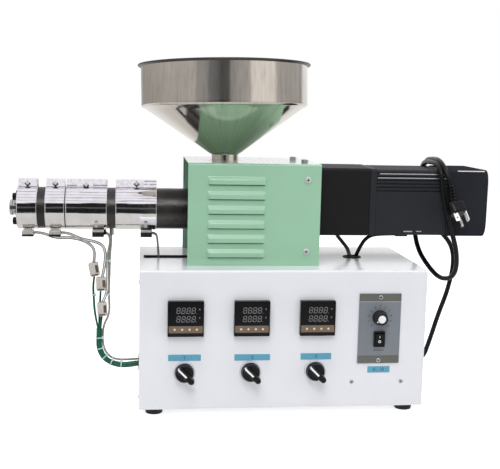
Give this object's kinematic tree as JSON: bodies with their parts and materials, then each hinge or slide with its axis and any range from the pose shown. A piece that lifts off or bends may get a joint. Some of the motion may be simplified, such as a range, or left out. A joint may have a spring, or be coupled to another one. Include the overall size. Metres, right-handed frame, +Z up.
{
  "type": "plastic extruder",
  "caption": "Benchtop plastic extruder: control cabinet on rubber feet, steel hopper over a green cover, heated barrel to the left, ribbed gear motor to the right.",
  "frame": {"origin": "on the surface the feet stand on, under the middle of the machine's box without its free cords", "axes": "+Z up; +X runs along the barrel's axis towards the motor; the front panel with the controllers faces -Y"},
  "size_m": [0.679, 0.2452, 0.473],
  "materials": {
    "cabinet_paint": "satin",
    "cover_paint": "satin",
    "stainless": "polished",
    "band_steel": "mirror",
    "terminal": "satin",
    "barrel_steel": "oxidised",
    "machined_steel": "satin",
    "block_steel": "satin",
    "rubber": "matte",
    "drive_paint": "satin",
    "black_plastic": "matte",
    "window_tint": "gloss",
    "key_strip": "satin",
    "ring": "gloss",
    "rocker": "gloss",
    "knob_cap": "gloss",
    "plate_grey": "satin",
    "label_blue": "gloss",
    "ceramic": "glazed",
    "cord_black": "satin",
    "lead_silver": "braided",
    "wire_green": "satin",
    "lead_grey": "matte"
  },
  "bodies": {
    "machine": {"barrel": "barrel_steel", "cabinet_back_panel": "cabinet_paint", "cabinet_body": "cabinet_paint", "cabinet_left_panel": "cabinet_paint", "cabinet_right_panel": "cabinet_paint", "ceramic_connectors": "ceramic", "controller_1": "black_plastic", "controller_2": "black_plastic", "controller_3": "black_plastic", "cord_gland": "black_plastic", "die_head": "barrel_steel", "display_windows": "window_tint", "fan_cover": "drive_paint", "feed_block": "block_steel", "foot_back_left": "rubber", "foot_back_right": "rubber", "foot_front_left": "rubber", "foot_front_right": "rubber", "gearhead": "drive_paint", "green_trunk": "wire_green", "green_wire_1": "wire_green", "green_wire_2": "wire_green", "green_wire_3": "wire_green", "guard_cover": "cover_paint", "heater_band_1": "band_steel", "heater_band_2": "band_steel", "heater_band_3": "band_steel", "heater_band_4": "band_steel", "heater_lead_1": "lead_silver", "heater_lead_2": "lead_silver", "heater_lead_3": "lead_silver", "heater_lead_4": "lead_silver", "hopper": "stainless", "key_strips": "key_strip", "label_strips": "label_blue", "motor": "drive_paint", "motor_lead_1": "lead_grey", "motor_lead_2": "cord_black", "motor_plate": "block_steel", "nozzle": "machined_steel", "power_cord": "cord_black", "power_plug": "black_plastic", "probe": "machined_steel", "probe_lead": "lead_silver", "rocker_frame": "black_plastic", "screw": "machined_steel", "selector_rings": "ring", "side_grommet": "rubber", "speed_plate": "plate_grey", "terminal_blocks": "terminal", "thrust_housing": "block_steel", "top_grommet": "rubber"},
    "selector_1": {"selector_knob_1": "black_plastic"},
    "selector_2": {"selector_knob_2": "black_plastic"},
    "selector_3": {"selector_knob_3": "black_plastic"},
    "speed_dial": {"speed_knob": "black_plastic", "speed_knob_cap": "knob_cap"},
    "power_rocker": {"rocker": "rocker"}
  },
  "joints": [
    {"name": "selector_1_turn", "type": "hinge", "parent": "machine", "child": "selector_1", "pos_m": [-0.09975, -0.10665, 0.0615], "axis": [0, 1, 0], "range_deg": [0, 90]},
    {"name": "selector_2_turn", "type": "hinge", "parent": "machine", "child": "selector_2", "pos_m": [-0.01055, -0.10665, 0.0615], "axis": [0, 1, 0], "range_deg": [0, 90]},
    {"name": "selector_3_turn", "type": "hinge", "parent": "machine", "child": "selector_3", "pos_m": [0.07825, -0.10665, 0.0615], "axis": [0, 1, 0], "range_deg": [0, 90]},
    {"name": "speed_dial_turn", "type": "hinge", "parent": "machine", "child": "speed_dial", "pos_m": [0.16555, -0.10565, 0.1355], "axis": [0, 1, 0], "range_deg": [0, 280]},
    {"name": "rocker_tip", "type": "hinge", "parent": "machine", "child": "power_rocker", "pos_m": [0.16555, -0.10695, 0.1057], "axis": [-1, 0, 0], "range_deg": [0, 16]}
  ]
}
